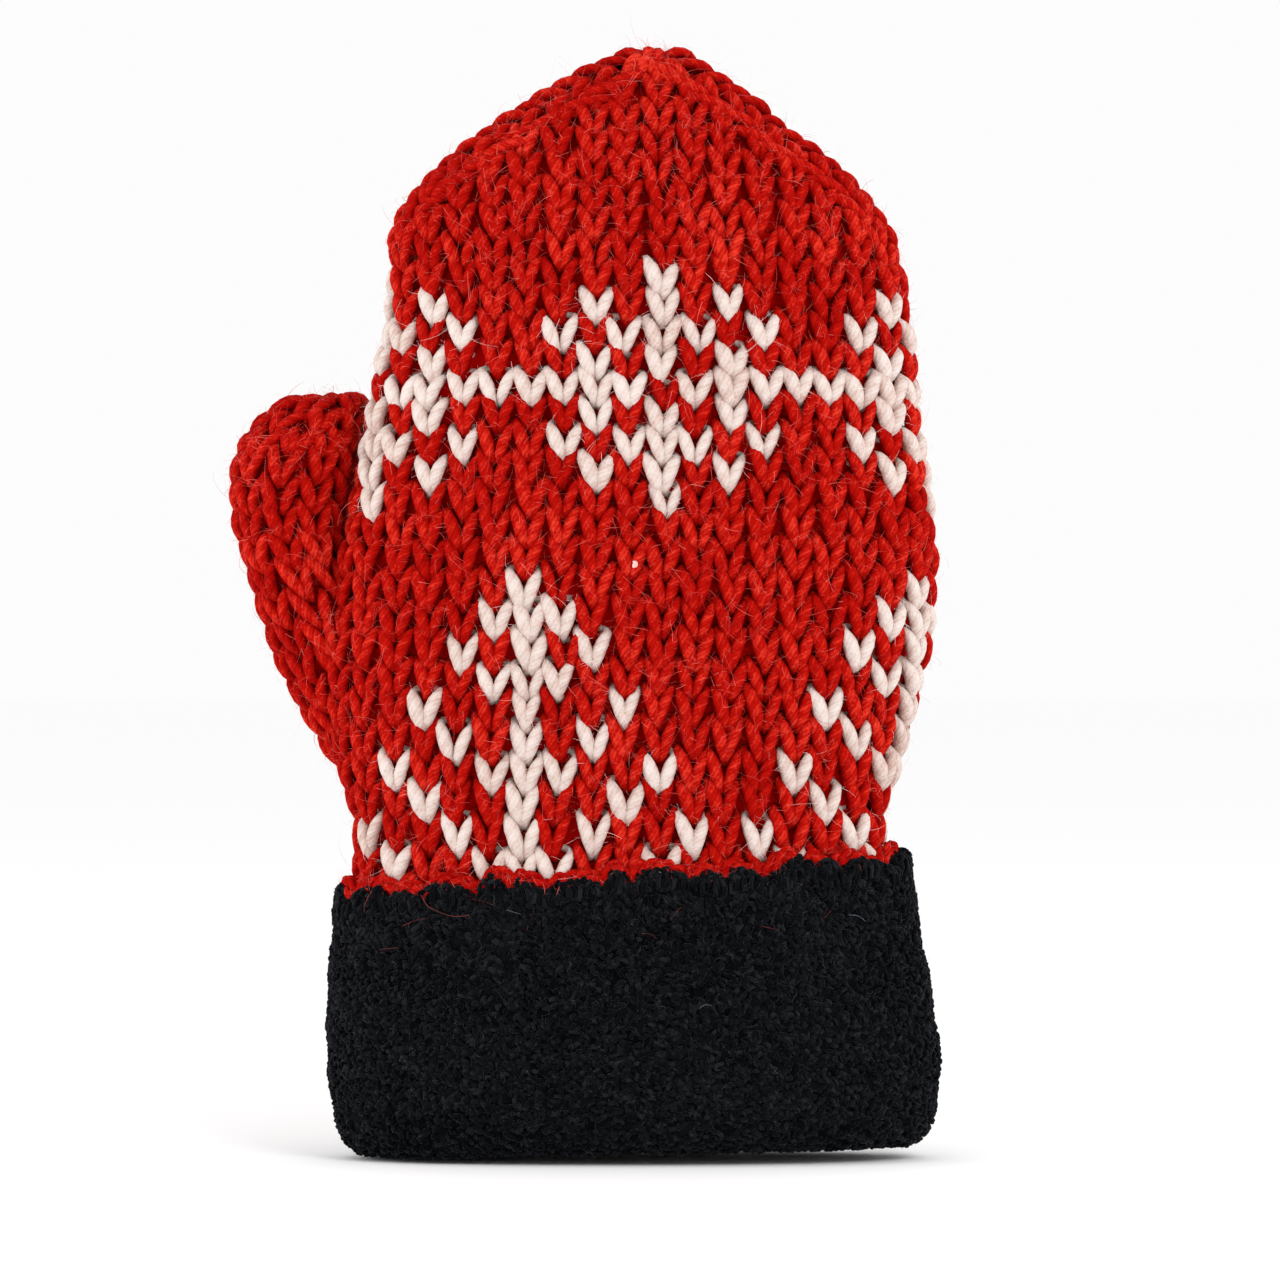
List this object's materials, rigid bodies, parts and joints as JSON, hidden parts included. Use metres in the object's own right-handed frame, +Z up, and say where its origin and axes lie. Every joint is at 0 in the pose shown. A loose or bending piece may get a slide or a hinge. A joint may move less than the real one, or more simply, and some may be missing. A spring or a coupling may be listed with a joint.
{
  "type": "knitted mittens",
  "caption": "Right-hand knitted wool mitten with a full fleece lining turned up as a cuff, a rounded crown and a side thumb; the fingers fold and the thumb moves.",
  "frame": {"origin": "centre of the bounding box's base, in the plane the upright mitten's cuff stands on", "axes": "+Z up to the fingertips, +X to the little finger side, +Y to the palm, so the back of the hand faces -Y"},
  "size_m": [0.1316, 0.0436, 0.2074],
  "materials": {
    "red_wool": "chunky knitted wool",
    "white_wool": "chunky knitted wool",
    "black_fleece": "nubby pile fleece",
    "seam_thread": "twisted sewing thread"
  },
  "bodies": {
    "hand": {"knit_hand": "red_wool", "tree_band_white_yarn": "white_wool", "cuff_and_lining_back": "black_fleece", "cuff_and_lining_palm": "black_fleece", "cuff_edge_yarn": "red_wool", "seam_thread_thumb_side": "seam_thread", "seam_thread_little_finger_side": "seam_thread", "knit_thumb_gusset": "red_wool", "lining_thumb_gusset": "black_fleece"},
    "fingers": {"knit_fingers": "red_wool", "snowflake_band_white_yarn": "white_wool", "lining_fingers_back": "black_fleece", "lining_fingers_palm": "black_fleece", "seam_thread_fingers": "seam_thread", "crown_gather": "red_wool"},
    "thumb_base": {"knit_thumb_lower": "red_wool", "lining_thumb_lower": "black_fleece"},
    "thumb": {"knit_thumb": "red_wool", "lining_thumb": "black_fleece", "thumb_gather": "red_wool"}
  },
  "joints": [
    {"name": "finger_fold", "type": "hinge", "parent": "hand", "child": "fingers", "pos_m": [0.0095, 0.0186, 0.111], "axis": [-1, 0, 0], "range_deg": [0, 45], "stiffness_Nm_per_rad": 0.08},
    {"name": "thumb_spread", "type": "hinge", "parent": "hand", "child": "thumb_base", "pos_m": [-0.0552, 0.009, 0.092], "axis": [0, -1, 0], "range_deg": [0, 18], "stiffness_Nm_per_rad": 0.08},
    {"name": "thumb_fold", "type": "hinge", "parent": "thumb_base", "child": "thumb", "pos_m": [-0.055, 0.0219, 0.118], "axis": [-1, 0, 0], "range_deg": [0, 40], "stiffness_Nm_per_rad": 0.04}
  ]
}
